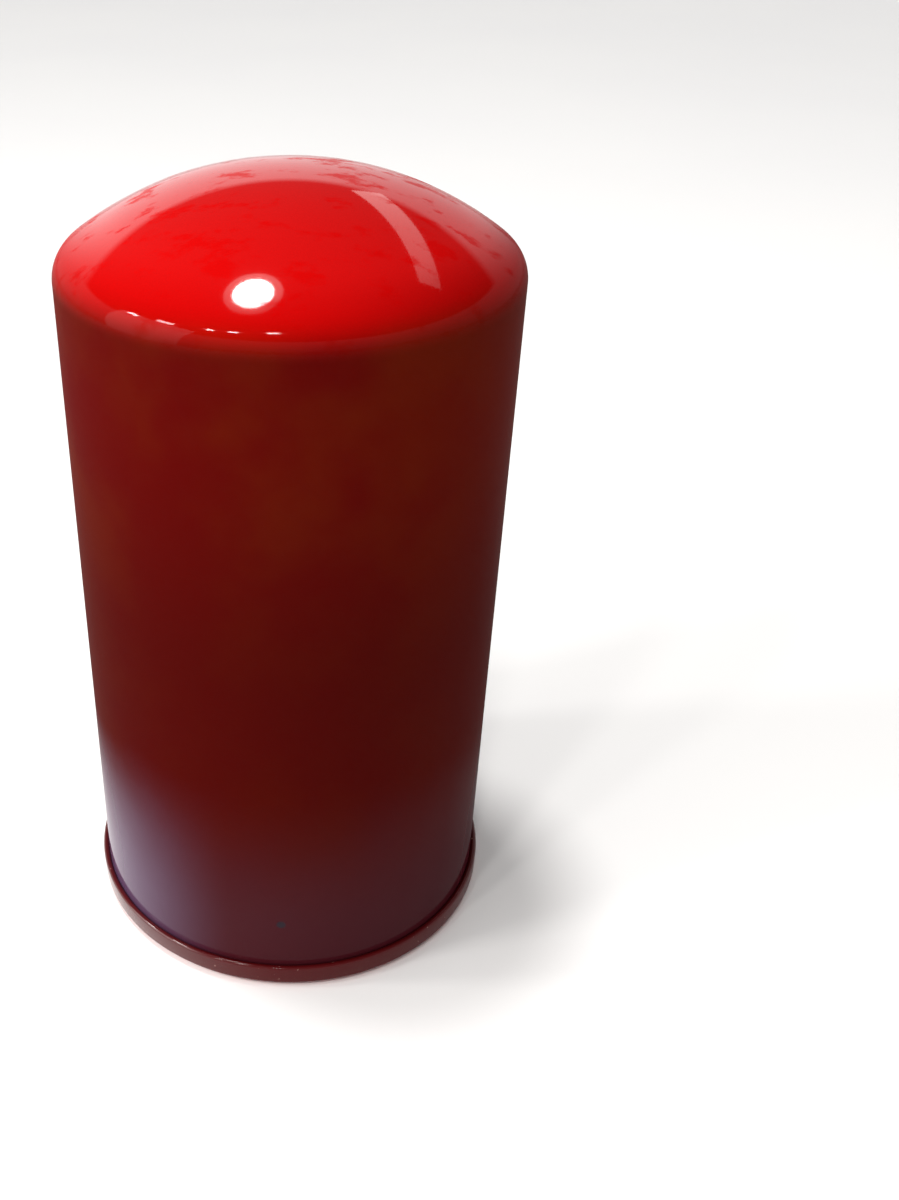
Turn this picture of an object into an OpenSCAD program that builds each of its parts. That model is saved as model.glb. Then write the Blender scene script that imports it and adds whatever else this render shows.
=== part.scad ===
// Spin-on oil filter: a drawn steel can closed by a double-seamed lid and a thick tapping plate,
// with the pleated element, anti-drainback valve, bypass valve and springs that it holds.
// The origin is the centre of the gasket's sealing face and +Z runs up through the dome.

/* [Can] */
// Outside diameter of the drawn can
can_d = 93; // [92:0.5:120]
// Height from the sealing face to the top of the dome
overall_h = 172.9; // [150:0.5:220]
// Thickness of the can's steel
can_t = 0.45; // [0.4:0.05:0.5]
// Rise of the dome above the end of the straight wall
dome_rise = 19.9; // [14:0.5:24]
// Outside radius of the corner between wall and dome
corner_r = 6.7; // [4:0.1:9]

/* [Double seam] */
// Height of the rolled seam
seam_h = 5; // [4.5:0.1:6]
// Gap left between two layers of the seam
seam_gap = 0.03; // [0.02:0.01:0.05]
// How far the lid's hook stops above the can's fold
hook_room = 0.8; // [0.7:0.1:1.2]

/* [Sealing gasket] */
// Inside diameter of the gasket
gasket_id = 65; // [62:0.5:72]
// Width of the gasket's face
gasket_w = 7.2; // [6:0.1:7.4]
// Thickness of the gasket
gasket_h = 5.3; // [4.8:0.1:6]
// How far the sealing face stands below the lid
gasket_proud = 1.2; // [0.8:0.1:2]
// Radius along the gasket's four edges
gasket_edge_r = 0.4; // [0.2:0.1:0.8]
// Gap between the gasket and its channel
gasket_gap = 0.05; // [0.03:0.01:0.1]

/* [Seaming lid] */
// Thickness of the lid's steel
lid_t = 0.45; // [0.4:0.05:0.5]
// Width of the bare ring inside the gasket
lid_lip_w = 3.5; // [3:0.1:4]
// Centreline radius of the lid's ordinary bends
lid_bend_r = 0.6; // [0.5:0.05:0.8]
// Centreline radius of the bare ring's outer bend
lip_bend_r = 1.1; // [0.8:0.1:1.5]
// Centreline width of the bead around the gasket
bead_w = 1.4; // [1.3:0.1:1.6]
// Depth of the groove outside the bead
groove_depth = 3.8; // [3:0.1:4]
// Slant of the groove's outer wall
groove_slant = 1.5; // [1:0.1:2]

/* [Tapping plate] */
// Thickness of the pressed plate
plate_t = 3; // [2.5:0.1:3.6]
// Gap between the plate's edge and the can
plate_edge_gap = 1.4; // [1:0.1:3]
// Major diameter of the metric thread
thread_d = 27; // [22:0.5:33]
// Pitch of the thread
thread_pitch = 2; // [1.5:0.5:2]
// How far the hub's face lies inside the sealing face
hub_recess = 0.8; // [0.3:0.1:1.2]
// Width of the hub's flat face, from the thread outwards
hub_face_w = 4.1; // [3.5:0.1:5]
// Leg of the chamfer at the thread's mouth
mouth_chamfer = 1.3; // [1:0.1:1.5]
// Wall outside the thread in the drawn neck
neck_wall = 2.7; // [2.2:0.1:3.2]
// Height of the neck's end above the sealing face
neck_top = 14.8; // [13.5:0.1:15.2]
// Width of the flat land between the dish and the gasket's channel
dish_land = 3.85; // [3:0.05:5]
// Radius of the fillet where the neck leaves the dish
neck_fillet_r = 3; // [2:0.1:3.2]
// Number of inlet ports
port_count = 8; // [6:1:10]
// Diameter of an inlet port
port_d = 8.4; // [6:0.1:10.2]
// Metal between a port and the rim of the dish
port_edge = 0.6; // [0.3:0.1:1.5]

/* [Valve at the base] */
// Running gap between the rubber parts and the neck
neck_gap = 0.1; // [0.05:0.01:0.1]
// Outside diameter of the black neck seal
neck_seal_d = 45.2; // [43:0.1:46]
// Height of the seal's top above the sealing face
neck_seal_top = 9; // [8.8:0.1:9.2]
// Width of the valve's thick inner collar
valve_collar_w = 4.2; // [3:0.1:5]
// Height of that collar
valve_collar_h = 3.6; // [3.4:0.1:4]
// Thickness of the valve's thin skirt
valve_skirt_t = 1.3; // [1:0.1:1.5]
// Reach of the lip beyond the rim of the dish
valve_lip_reach = 4; // [3:0.1:5]
// Width of the lip's flat seat
valve_lip_w = 1.2; // [0.8:0.1:1.6]

/* [Element] */
// Outside diameter of the element's end caps
element_d = 85; // [68:0.5:86]
// Thickness of the end caps' steel
cap_t = 0.5; // [0.4:0.1:0.6]
// Height of an end cap's turned rim
cap_rim_h = 4.9; // [4:0.1:6]
// Height of the potting compound in an end cap
potting_h = 2.5; // [2:0.1:3]
// Inside diameter of the lower cap's collar
collar_id = 23.2; // [22:0.1:24]
// Height of that collar
collar_h = 4.5; // [3:0.1:6]
// Gap around the neck inside the raised middle of the lower cap
cap_neck_gap = 0.55; // [0.4:0.05:0.8]
// Outside diameter of the perforated centre tube
tube_d = 39.2; // [38:0.1:48]
// Wall of the centre tube
tube_t = 0.6; // [0.5:0.1:0.8]
// Diameter of the centre tube's holes
tube_hole_d = 4.2; // [3:0.1:5]
// Holes around the tube in each row
tube_holes_round = 8; // [6:2:8]
// Distance between rows of holes
tube_row_pitch = 12; // [8:0.5:14]
// Number of paper pleats
pleat_count = 48; // [36:1:52]
// Thickness of the filter paper
paper_t = 0.7; // [0.5:0.05:0.8]
// Gap between the pleats and what surrounds them
pleat_gap = 0.5; // [0.4:0.1:0.8]
// Depth of the metal clip that joins the paper's ends
clip_depth = 5; // [4:0.5:7]
// Thickness of that clip
clip_t = 0.4; // [0.3:0.1:0.5]
// Number of glue cords around the pleats
cord_count = 3; // [2:1:5]
// Height of a glue cord
cord_h = 1.6; // [1:0.1:2.5]

/* [Bypass valve] */
// Diameter of the flow hole in the seat
seat_hole_d = 18; // [14:0.5:19]
// Thickness of the seat's and cage's steel
seat_t = 0.8; // [0.6:0.1:1]
// Depth of the seat below the upper end cap
seat_depth = 6; // [5:0.5:8]
// Width of the seat's flange on the end cap
seat_flange_w = 4; // [3:0.5:5]
// Radial clearance of the seat in the tube
seat_tube_gap = 1.7; // [1.2:0.1:2.5]
// Diameter of the rubber face on the poppet
seal_disc_d = 23; // [22:0.5:24]
// Thickness of the rubber face
seal_disc_t = 1.5; // [1.2:0.1:2]
// Thickness of the poppet plate
poppet_t = 0.8; // [0.6:0.1:1.2]
// Diameter of the stem
stem_d = 4; // [3.5:0.1:5]
// Running clearance of the stem in its guide, on the radius
stem_clearance = 0.06; // [0.04:0.01:0.1]
// Travel of the poppet from shut to open
bypass_travel = 4.5; // [3:0.1:5.5]
// Length of the bypass spring when the valve is shut
bypass_spring_l = 21.7; // [18:0.1:26]
// Mean diameter of the bypass spring
bypass_coil_d = 17; // [14:0.5:18]
// Wire of the bypass spring
bypass_wire_d = 1.4; // [1:0.1:1.6]
// Active turns of the bypass spring
bypass_turns = 6; // [4:1:7]

/* [Element spring] */
// Distance from the upper end cap to the end of the can's straight wall
spring_room = 10.5; // [8:0.5:14]
// Clearance between the bypass seat's flange and the spring under the dome
dome_coil_gap = 2.5; // [1:0.1:5]
// Wire of that spring
dome_wire_d = 2.4; // [2:0.1:3]
// Active turns of that spring
dome_turns = 3; // [2:1:4]

/* [Hidden] */
$fn = 96;

red = [0.62, 0.05, 0.05];
steel = [0.62, 0.6, 0.57];
zinc = [0.7, 0.7, 0.68];
paper = [0.86, 0.76, 0.5];
potting = [0.3, 0.3, 0.32];
black_rubber = [0.07, 0.07, 0.08];
orange_rubber = [0.72, 0.36, 0.22];

arc_steps = 6;
coil_steps = 20;
wire_sides = 8;
small_gap = 0.03;
cut = 1;

// The can and its dome
can_r = can_d / 2;
can_ir = can_r - can_t;
wall_top = overall_h - dome_rise;
corner_x = can_r - corner_r;
dome_r = (corner_x * corner_x + dome_rise * dome_rise - corner_r * corner_r) / (2 * (dome_rise - corner_r));
dome_z = overall_h - dome_r;
tangent_a = atan2(wall_top - dome_z, corner_x);

// The seam, layer by layer from the inside
seam_bottom = gasket_proud;
seam_top = gasket_proud + seam_h;
chuck_x = can_ir - seam_gap - lid_t / 2;
wall_x = can_r - can_t / 2;
cover_hook_x = can_r + seam_gap + lid_t / 2;
body_hook_x = can_r + 2 * seam_gap + lid_t + can_t / 2;
panel_x = can_r + 3 * seam_gap + lid_t + can_t + lid_t / 2;
fold_z = seam_bottom + lid_t + seam_gap + can_t / 2;
hook_end_z = fold_z + can_t / 2 + hook_room;
body_hook_top = seam_top - lid_t - can_t;

// The gasket's channel and the plate behind it
gasket_ir = gasket_id / 2;
gasket_or = gasket_ir + gasket_w;
lip_z = gasket_proud + lid_t / 2;
channel_z = gasket_h + lid_t / 2;
channel_in = gasket_ir - gasket_gap - lid_t / 2;
channel_out = gasket_or + gasket_gap + lid_t / 2;
bead_out = channel_out + bead_w;
groove_z = gasket_proud + groove_depth + lid_t / 2;
lid_bore_r = gasket_ir - lid_lip_w;
plate_z = gasket_h + lid_t;
plate_top = plate_z + plate_t;
plate_r = can_ir - plate_edge_gap;
thread_r = thread_d / 2 - 0.5413 * thread_pitch;
neck_r = thread_d / 2 + neck_wall;
hub_face_r = thread_d / 2 + hub_face_w;
dish_r = gasket_ir - lid_t - dish_land;
dish_a = atan2(plate_z - hub_recess, dish_r - hub_face_r);
dish_in_r = dish_r + plate_t * tan(dish_a / 2);
port_r = dish_r - port_edge - port_d / 2;

// The rubber parts around the neck
rubber_ir = neck_r + neck_gap;
neck_seal_r = neck_seal_d / 2;
valve_top = neck_seal_top + valve_collar_h;
valve_collar_r = rubber_ir + valve_collar_w;
valve_lip_r = dish_r + valve_lip_reach;

// The element
element_r = element_d / 2;
cap_z = valve_top;
collar_r = collar_id / 2;
raised_x = neck_r + cap_neck_gap + cap_t / 2;
raised_z = neck_top + cap_neck_gap + cap_t / 2;
upper_cap_top = wall_top - spring_room;
upper_cap_z = upper_cap_top - cap_t;
tube_r = tube_d / 2;
tube_z = cap_z + cap_t;
tube_l = upper_cap_z - tube_z;
potting_r = element_r - cap_t - small_gap;
media_z = tube_z + potting_h;
media_l = tube_l - 2 * potting_h;
pleat_or = element_r - cap_t - pleat_gap - clip_t;
pleat_ir = tube_r + pleat_gap;
pleat_a = 360 / pleat_count;
fold_w = paper_t + 0.2;
tube_rows = floor((media_l - tube_row_pitch) / tube_row_pitch);

// The bypass valve, hung from the upper end cap
seat_wall_x = tube_r - tube_t - seat_tube_gap - seat_t / 2;
seat_flange_x = seat_wall_x + seat_t / 2 + seat_flange_w;
seat_top_z = upper_cap_top + seat_t / 2;
seat_face_z = upper_cap_top - seat_depth;
seal_z = seat_face_z - seal_disc_t;
poppet_z = seal_z - poppet_t;
poppet_r = seal_disc_d / 2 + 0.5;
stem_r = stem_d / 2;
stem_shoulder_h = 1;
cage_wall_x = seat_wall_x - seat_t;
cage_floor_z = poppet_z - bypass_spring_l - seat_t;
guide_r = stem_r + stem_clearance;

// The spring between the upper end cap and the dome
dome_wire_r = dome_wire_d / 2;
dome_coil_r = seat_flange_x + dome_coil_gap + dome_wire_r;
dome_inner_r = dome_r - can_t;
dome_coil_top = dome_z + sqrt(pow(dome_inner_r - dome_wire_r - small_gap, 2) - pow(dome_coil_r, 2));

// Points along an arc
function arc(c, r, a0, a1, n) = [for (i = [0 : n])
    let (a = a0 + (a1 - a0) * i / n) c + r * [cos(a), sin(a)]];

function unit(v) = v / norm(v);
function left(v) = [-v[1], v[0]];
function polar(r, a, side = 0) = r * [cos(a), sin(a)] + side * [-sin(a), cos(a)];
function flipped(path) = [for (i = [len(path) - 1 : -1 : 0]) path[i]];

// The arc that rounds the corner q between p and s
function bend(p, q, s, r) =
    let (u = unit(p - q), v = unit(s - q), half = acos(u * v) / 2)
    let (c = q + unit(u + v) * r / sin(half), a = q + u * r / tan(half) - c, b = q + v * r / tan(half) - c)
    let (a0 = atan2(a[1], a[0]), turn = atan2(a[0] * b[1] - a[1] * b[0], a * b))
    arc(c, r, a0, a0 + turn, arc_steps);

// A path of [x, z, bend radius] with its corners rounded
function rounded(path) = [for (i = [0 : len(path) - 1])
    let (p = [path[i][0], path[i][1]])
    each (path[i][2] == 0 ? [p] : let (a = path[i - 1], b = path[i + 1])
        bend([a[0], a[1]], p, [b[0], b[1]], path[i][2]))];

// The same path moved sideways by d, to its left
function beside(path, d) = [for (i = [0 : len(path) - 1])
    let (a = unit(path[max(i, 1)] - path[max(i, 1) - 1]))
    let (b = unit(path[min(i, len(path) - 2) + 1] - path[min(i, len(path) - 2)]))
    path[i] + left(unit(a + b)) * d / (unit(a + b) * a)];

// A closed loop moved sideways by d, to its left
function around(loop, d) = [for (i = [0 : len(loop) - 1])
    let (a = unit(loop[i] - loop[(i + len(loop) - 1) % len(loop)]))
    let (b = unit(loop[(i + 1) % len(loop)] - loop[i]))
    loop[i] + left(unit(a + b)) * d / (unit(a + b) * a)];

// The outline of a sheet of thickness t along a path
function sheet(path, t) = concat(beside(path, t / 2), flipped(beside(path, -t / 2)));

module turned(outline) {
    rotate_extrude() polygon(outline);
}

// A ring of rectangular section with chamfered edges
module ring(inner, outer, z, h, edge = 0) {
    turned([[inner + edge, z], [outer - edge, z], [outer, z + edge], [outer, z + h - edge],
        [outer - edge, z + h], [inner + edge, z + h], [inner, z + h - edge], [inner, z + edge]]);
}

// A coil of round wire between two heights, with a closed turn at each end
module coil(r, wire_r, z0, z1, turns) {
    low = z0 + wire_r;
    high = z1 - wire_r;
    total = turns + 2;
    rise = 2 * wire_r + small_gap;
    steps = total * coil_steps;
    climb = function(t) t < 1 ? low + rise * t
        : t > total - 1 ? high - rise * (total - t)
        : low + rise + (high - low - 2 * rise) * (t - 1) / turns;
    points = [for (i = [0 : steps], k = [0 : wire_sides - 1])
        let (t = i / coil_steps, a = 360 * t, b = 360 * k / wire_sides)
        [(r + wire_r * cos(b)) * cos(a), (r + wire_r * cos(b)) * sin(a), climb(t) + wire_r * sin(b)]];
    sides = [for (i = [0 : steps - 1], k = [0 : wire_sides - 1])
        let (n = (k + 1) % wire_sides)
        [i * wire_sides + k, i * wire_sides + n, (i + 1) * wire_sides + n, (i + 1) * wire_sides + k]];
    start = [for (k = [wire_sides - 1 : -1 : 0]) k];
    end = [for (k = [0 : wire_sides - 1]) steps * wire_sides + k];
    polyhedron(points, concat([start, end], sides));
}

// The can's surface from the axis to the wall, inset from the outside
function can_curve(inset) = concat(
    arc([0, dome_z], dome_r - inset, 90, tangent_a, 2 * arc_steps),
    arc([corner_x, wall_top], corner_r - inset, tangent_a, 0, 2 * arc_steps));

module can_shell() {
    hook = rounded([[wall_x, seam_top, 0], [wall_x, fold_z, can_t], [body_hook_x, fold_z, can_t],
        [body_hook_x, body_hook_top, 0]]);
    color(red) turned(concat(can_curve(0), sheet(hook, can_t), flipped(can_curve(can_t))));
}

module seam_compound() {
    low = fold_z + (body_hook_x - wall_x) / 2 + small_gap;
    color(black_rubber) ring(can_r + small_gap, can_r + seam_gap + lid_t, low, hook_end_z - low - small_gap);
}

module seaming_lid() {
    path = rounded([[lid_bore_r, lip_z, 0], [channel_in, lip_z, lip_bend_r],
        [channel_in, channel_z, lid_bend_r], [channel_out, channel_z, lid_bend_r],
        [channel_out, lip_z, bead_w / 2 - small_gap], [bead_out, lip_z, bead_w / 2 - small_gap],
        [bead_out, groove_z, lid_bend_r], [chuck_x - groove_slant, groove_z, lid_bend_r],
        [chuck_x, groove_z - 2 * groove_slant, lid_bend_r], [chuck_x, lip_z, lid_bend_r],
        [panel_x, lip_z, lid_bend_r], [panel_x, seam_top - lid_t / 2, lid_t],
        [cover_hook_x, seam_top - lid_t / 2, lid_t], [cover_hook_x, hook_end_z, 0]]);
    color(red) turned(sheet(path, lid_t));
}

module tapping_plate() {
    outside = rounded([[thread_r, hub_recess + mouth_chamfer, 0],
        [thread_r + mouth_chamfer, hub_recess, mouth_chamfer / 2],
        [hub_face_r, hub_recess, plate_t], [dish_r, plate_z, plate_t / 2], [plate_r, plate_z, 0]]);
    cone_z = plate_top - (dish_in_r - neck_r) * tan(dish_a);
    inside = rounded([[plate_r, plate_top, 0], [dish_in_r, plate_top, plate_t / 2],
        [neck_r, cone_z, neck_fillet_r],
        [neck_r, neck_top, 0], [thread_r, neck_top, 0]]);
    color(zinc) difference() {
        turned(concat(outside, inside));
        for (i = [0 : port_count - 1])
            rotate(i * 360 / port_count) translate([port_r, 0, 0])
                cylinder(d = port_d, h = plate_top + cut);
    }
}

module sealing_gasket() {
    color(black_rubber) ring(gasket_ir, gasket_or, 0, gasket_h, gasket_edge_r);
}

module neck_seal() {
    cone_z = plate_top - (dish_in_r - neck_seal_r) * tan(dish_a) + neck_gap;
    toe_r = neck_seal_r - neck_gap - (neck_seal_r - rubber_ir) / 4;
    toe_z = cone_z - (neck_seal_r - toe_r) * tan(dish_a);
    heel_z = neck_seal_top - 1.4;
    color(black_rubber) turned([[rubber_ir, neck_seal_top], [rubber_ir, heel_z], [toe_r, toe_z],
        [neck_seal_r, cone_z], [neck_seal_r, neck_seal_top]]);
}

module drainback_valve() {
    skirt_z = valve_top - 2 * valve_skirt_t;
    shoulder_r = valve_lip_r - 4 * valve_skirt_t;
    skirt = rounded([[valve_collar_r, skirt_z, 0], [shoulder_r, skirt_z, 2 * valve_skirt_t],
        [valve_lip_r, plate_top, 0]]);
    under = [for (p = beside(skirt, -valve_skirt_t / 2)) if (p[1] > plate_top) p];
    over = [for (p = beside(skirt, valve_skirt_t / 2)) if (p[1] > plate_top + valve_skirt_t) p];
    lip_in = valve_lip_r - valve_lip_w / 2;
    lip_out = valve_lip_r + valve_lip_w / 2;
    color(orange_rubber) turned(concat([[rubber_ir, neck_seal_top], [valve_collar_r, neck_seal_top]], under,
        [[lip_in, plate_top], [lip_out, plate_top], [lip_out, plate_top + valve_skirt_t / 2]],
        flipped(over), [[valve_collar_r, valve_top], [rubber_ir, valve_top]]));
}

module lower_end_cap() {
    path = rounded([[element_r - cap_t / 2, cap_z + cap_rim_h, 0],
        [element_r - cap_t / 2, cap_z + cap_t / 2, 2 * cap_t],
        [raised_x, cap_z + cap_t / 2, cap_t], [raised_x, raised_z, cap_t],
        [collar_r + cap_t / 2, raised_z, cap_t], [collar_r + cap_t / 2, raised_z + collar_h, 0]]);
    color(steel) turned(sheet(path, cap_t));
}

module lower_potting() {
    color(potting) turned([[tube_r + small_gap, tube_z],
        [potting_r - 2 * cap_t, tube_z], [potting_r, tube_z + 2 * cap_t],
        [potting_r, tube_z + potting_h], [tube_r + small_gap, tube_z + potting_h]]);
}

module upper_potting() {
    color(potting) turned([[tube_r + small_gap, upper_cap_z], [potting_r - 2 * cap_t, upper_cap_z],
        [potting_r, upper_cap_z - 2 * cap_t], [potting_r, upper_cap_z - potting_h],
        [tube_r + small_gap, upper_cap_z - potting_h]]);
}

module upper_end_cap() {
    path = rounded([[element_r - cap_t / 2, upper_cap_top - cap_rim_h, 0],
        [element_r - cap_t / 2, upper_cap_top - cap_t / 2, 2 * cap_t],
        [seat_wall_x + seat_t + small_gap, upper_cap_top - cap_t / 2, 0]]);
    color(steel) turned(sheet(path, cap_t));
}

module centre_tube() {
    middle = tube_z + tube_l / 2;
    color(steel) difference() {
        translate([0, 0, tube_z]) difference() {
            cylinder(r = tube_r, h = tube_l);
            translate([0, 0, -cut]) cylinder(r = tube_r - tube_t, h = tube_l + 2 * cut);
        }
        for (row = [0 : tube_rows - 1], i = [0 : tube_holes_round - 1])
            translate([0, 0, middle + (row - (tube_rows - 1) / 2) * tube_row_pitch])
                rotate((i + (row % 2) / 2) * 360 / tube_holes_round) rotate([0, 90, 0])
                    translate([0, 0, tube_r - tube_t - cut]) cylinder(d = tube_hole_d, h = tube_t + 2 * cut);
    }
}

// The middle of the paper, folded flat at each tip and valley
function folds() = [for (i = [0 : pleat_count - 1])
    let (a = i * pleat_a, tip = pleat_or - paper_t / 2, valley = pleat_ir + paper_t / 2)
    each [polar(tip, a, -fold_w / 2), polar(tip, a, fold_w / 2),
        polar(valley, a + pleat_a / 2, -fold_w / 2), polar(valley, a + pleat_a / 2, fold_w / 2)]];

module pleated_media() {
    color(paper) translate([0, 0, media_z]) linear_extrude(media_l) difference() {
        polygon(around(folds(), -paper_t / 2));
        polygon(around(folds(), paper_t / 2));
    }
}

// A crimped strip over the tip of the pleat that holds both ends of the paper
module media_seam_clip() {
    line = folds();
    start = line[0] + unit(line[len(line) - 1] - line[0]) * clip_depth;
    end = line[1] + unit(line[2] - line[1]) * clip_depth;
    side = beside([start, line[0], line[1], end], -paper_t / 2 - small_gap - clip_t / 2);
    color(zinc) translate([0, 0, media_z + cut]) linear_extrude(media_l - 2 * cut)
        polygon(sheet(side, clip_t));
}

module pleat_cords() {
    color(potting) for (i = [1 : cord_count])
        difference() {
            ring(pleat_or + small_gap, pleat_or + pleat_gap,
                media_z + media_l * i / (cord_count + 1) - cord_h / 2, cord_h);
            translate([pleat_or, 0, media_z + media_l * i / (cord_count + 1)])
                cube([4 * pleat_gap, fold_w + paper_t + 4 * clip_t, 2 * cord_h], center = true);
        }
}

module bypass_seat() {
    path = rounded([[seat_flange_x, seat_top_z, 0], [seat_wall_x, seat_top_z, seat_t],
        [seat_wall_x, seat_face_z + seat_t / 2, seat_t], [seat_hole_d / 2, seat_face_z + seat_t / 2, 0]]);
    color(zinc) turned(sheet(path, seat_t));
}

module bypass_cage() {
    wall = rounded([[seat_wall_x + seat_t / 2, seat_face_z - seat_t / 2, 0],
        [cage_wall_x, seat_face_z - seat_t / 2, seat_t],
        [cage_wall_x, cage_floor_z + seat_t / 2, 2 * seat_t], [guide_r, cage_floor_z + seat_t / 2, 0]]);
    window_h = seat_face_z - cage_floor_z - 6 * seat_t;
    color(zinc) difference() {
        turned(sheet(wall, seat_t));
        for (i = [0 : 2])
            rotate(i * 120) translate([0, -cage_wall_x / 2, cage_floor_z + 3 * seat_t])
                cube([2 * cage_wall_x, cage_wall_x, window_h]);
    }
}

module bypass_seal() {
    color(black_rubber) ring(stem_r + small_gap, seal_disc_d / 2, seal_z, seal_disc_t, 0.2);
}

module seal_washer() {
    color(zinc) ring(stem_r + small_gap, seat_hole_d / 3, seat_face_z, seat_t);
}

module bypass_poppet() {
    color(zinc) ring(stem_r + small_gap, poppet_r, poppet_z, poppet_t, 0.1);
}

module bypass_stem() {
    head_z = seat_face_z + seat_t;
    end_z = cage_floor_z - 2 * seat_t;
    color(steel) turned([[0, end_z], [stem_r - 0.5, end_z],
        [stem_r, end_z + 0.5], [stem_r, poppet_z - stem_shoulder_h],
        [2 * stem_r, poppet_z - stem_shoulder_h], [2 * stem_r, poppet_z], [stem_r, poppet_z], [stem_r, head_z],
        [2 * stem_r, head_z], [1.6 * stem_r, head_z + 1], [0, head_z + 1.3]]);
}

module bypass_spring() {
    color(steel) coil(bypass_coil_d / 2, bypass_wire_d / 2, cage_floor_z + seat_t, poppet_z, bypass_turns);
}

module element_spring() {
    color(steel) coil(dome_coil_r, dome_wire_r, upper_cap_top, dome_coil_top + dome_wire_r, dome_turns);
}

can_shell();
seam_compound();
seaming_lid();
tapping_plate();
sealing_gasket();
neck_seal();
drainback_valve();
lower_end_cap();
lower_potting();
centre_tube();
pleated_media();
media_seam_clip();
pleat_cords();
upper_potting();
upper_end_cap();
bypass_seat();
bypass_cage();
bypass_seal();
seal_washer();
bypass_poppet();
bypass_stem();
bypass_spring();
element_spring();
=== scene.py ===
import math

import bmesh
import bpy
from mathutils import Matrix, Vector, noise


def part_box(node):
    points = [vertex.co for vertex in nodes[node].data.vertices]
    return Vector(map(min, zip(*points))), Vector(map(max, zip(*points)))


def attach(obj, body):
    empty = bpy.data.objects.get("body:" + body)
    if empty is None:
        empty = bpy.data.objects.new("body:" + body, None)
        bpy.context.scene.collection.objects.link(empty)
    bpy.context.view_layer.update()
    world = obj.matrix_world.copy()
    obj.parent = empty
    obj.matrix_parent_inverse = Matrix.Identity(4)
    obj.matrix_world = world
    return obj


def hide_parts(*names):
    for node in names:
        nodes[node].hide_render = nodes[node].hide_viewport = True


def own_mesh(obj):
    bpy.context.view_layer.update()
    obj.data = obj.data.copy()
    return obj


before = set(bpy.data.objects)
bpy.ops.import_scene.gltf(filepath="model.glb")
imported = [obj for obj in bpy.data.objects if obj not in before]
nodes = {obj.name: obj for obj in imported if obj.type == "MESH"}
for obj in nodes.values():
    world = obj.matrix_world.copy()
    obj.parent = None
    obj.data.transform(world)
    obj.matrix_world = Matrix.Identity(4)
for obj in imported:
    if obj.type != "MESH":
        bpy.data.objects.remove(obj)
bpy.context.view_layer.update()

mm = 0.001


# shader sums as plain Python

class Wire:
    def __init__(self, look, socket):
        self.look, self.socket = look, socket

    def join(self, operation, first, second):
        return self.look.add("ShaderNodeMath", {"operation": operation}, {0: first, 1: second})

    def __add__(self, other):
        return self.join("ADD", self, other)

    def __sub__(self, other):
        return self.join("SUBTRACT", self, other)

    def __rsub__(self, other):
        return self.join("SUBTRACT", other, self)

    def __mul__(self, other):
        return self.join("MULTIPLY", self, other)

    def __pow__(self, other):
        return self.join("POWER", self, other)

    __radd__ = __add__
    __rmul__ = __mul__


class Look:
    def __init__(self, name, **fixed):
        self.material = bpy.data.materials.new(name)
        self.material.use_nodes = True
        tree = self.material.node_tree
        self.nodes, self.links = tree.nodes, tree.links
        self.shader = next(n for n in self.nodes if n.type == "BSDF_PRINCIPLED")
        for key, value in fixed.items():
            self.put(key, value)
        self.point = self.add("ShaderNodeTexCoord", output=3)
        self.x, self.y, self.z = (self.add("ShaderNodeSeparateXYZ", None, {0: self.point}, i) for i in range(3))
        self.radius = (self.x * self.x + self.y * self.y) ** 0.5

    def put(self, name, value):
        self.feed(self.shader.inputs[name.replace("_", " ")], value)

    def feed(self, socket, value):
        if isinstance(value, Wire):
            self.links.new(value.socket, socket)
        elif isinstance(value, tuple) and len(value) == 3 and socket.type == "RGBA":
            socket.default_value = (*value, 1)
        else:
            socket.default_value = value

    def add(self, kind, settings=None, values=None, output=0):
        node = self.nodes.new(kind)
        for key, value in (settings or {}).items():
            setattr(node, key, value)
        for key, value in (values or {}).items():
            self.feed(node.inputs[key], value)
        return Wire(self, node.outputs[output])

    def grain(self, size, detail=2.0, rough=0.5, stretch=(1, 1, 1), shift=0.0):
        point = self.add("ShaderNodeMapping", None,
                         {"Vector": self.point, "Location": (shift, shift, shift), "Scale": stretch})
        return self.add("ShaderNodeTexNoise", None,
                        {"Vector": point, "Scale": 1 / size, "Detail": detail, "Roughness": rough})

    def specks(self, spacing, size, share):
        settings = {"feature": "F1"}
        values = {"Vector": self.point, "Scale": 1 / spacing}
        near = self.band(self.add("ShaderNodeTexVoronoi", settings, values, 0), size, size * 0.6)
        cell = self.add("ShaderNodeTexVoronoi", settings, values, 1)
        lucky = self.add("ShaderNodeSeparateColor", None, {0: cell}, 0)
        return near * self.band(lucky, 1 - share, 1 - share + 0.02)

    def band(self, value, low, high):
        return self.add("ShaderNodeMapRange", {"interpolation_type": "SMOOTHSTEP"},
                        {"Value": value, "From Min": low, "From Max": high})

    def span(self, value, ends):  # the same ramp between two places in millimetres
        return self.band(value, ends[0] * mm, ends[1] * mm)

    def ringAt(self, middle, half):  # a soft ring about the axis, in millimetres
        core = half * 0.4
        return self.span(self.radius, (middle - half, middle - core)) \
            * self.span(self.radius, (middle + half, middle + core))

    def blend(self, mask, first, second):
        return self.add("ShaderNodeMix", {"data_type": "RGBA"}, {0: mask, 6: first, 7: second}, 2)

    def bump(self, height, depth, strength=1.0):
        values = {"Height": height, "Distance": depth, "Strength": strength}
        self.put("Normal", self.add("ShaderNodeBump", None, values))


# mesh helpers

def arc(cx, cz, r, start, end, steps):
    angles = (math.radians(start + (end - start) * i / steps) for i in range(steps + 1))
    return [(cx + r * math.cos(a), cz + r * math.sin(a)) for a in angles]


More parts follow.
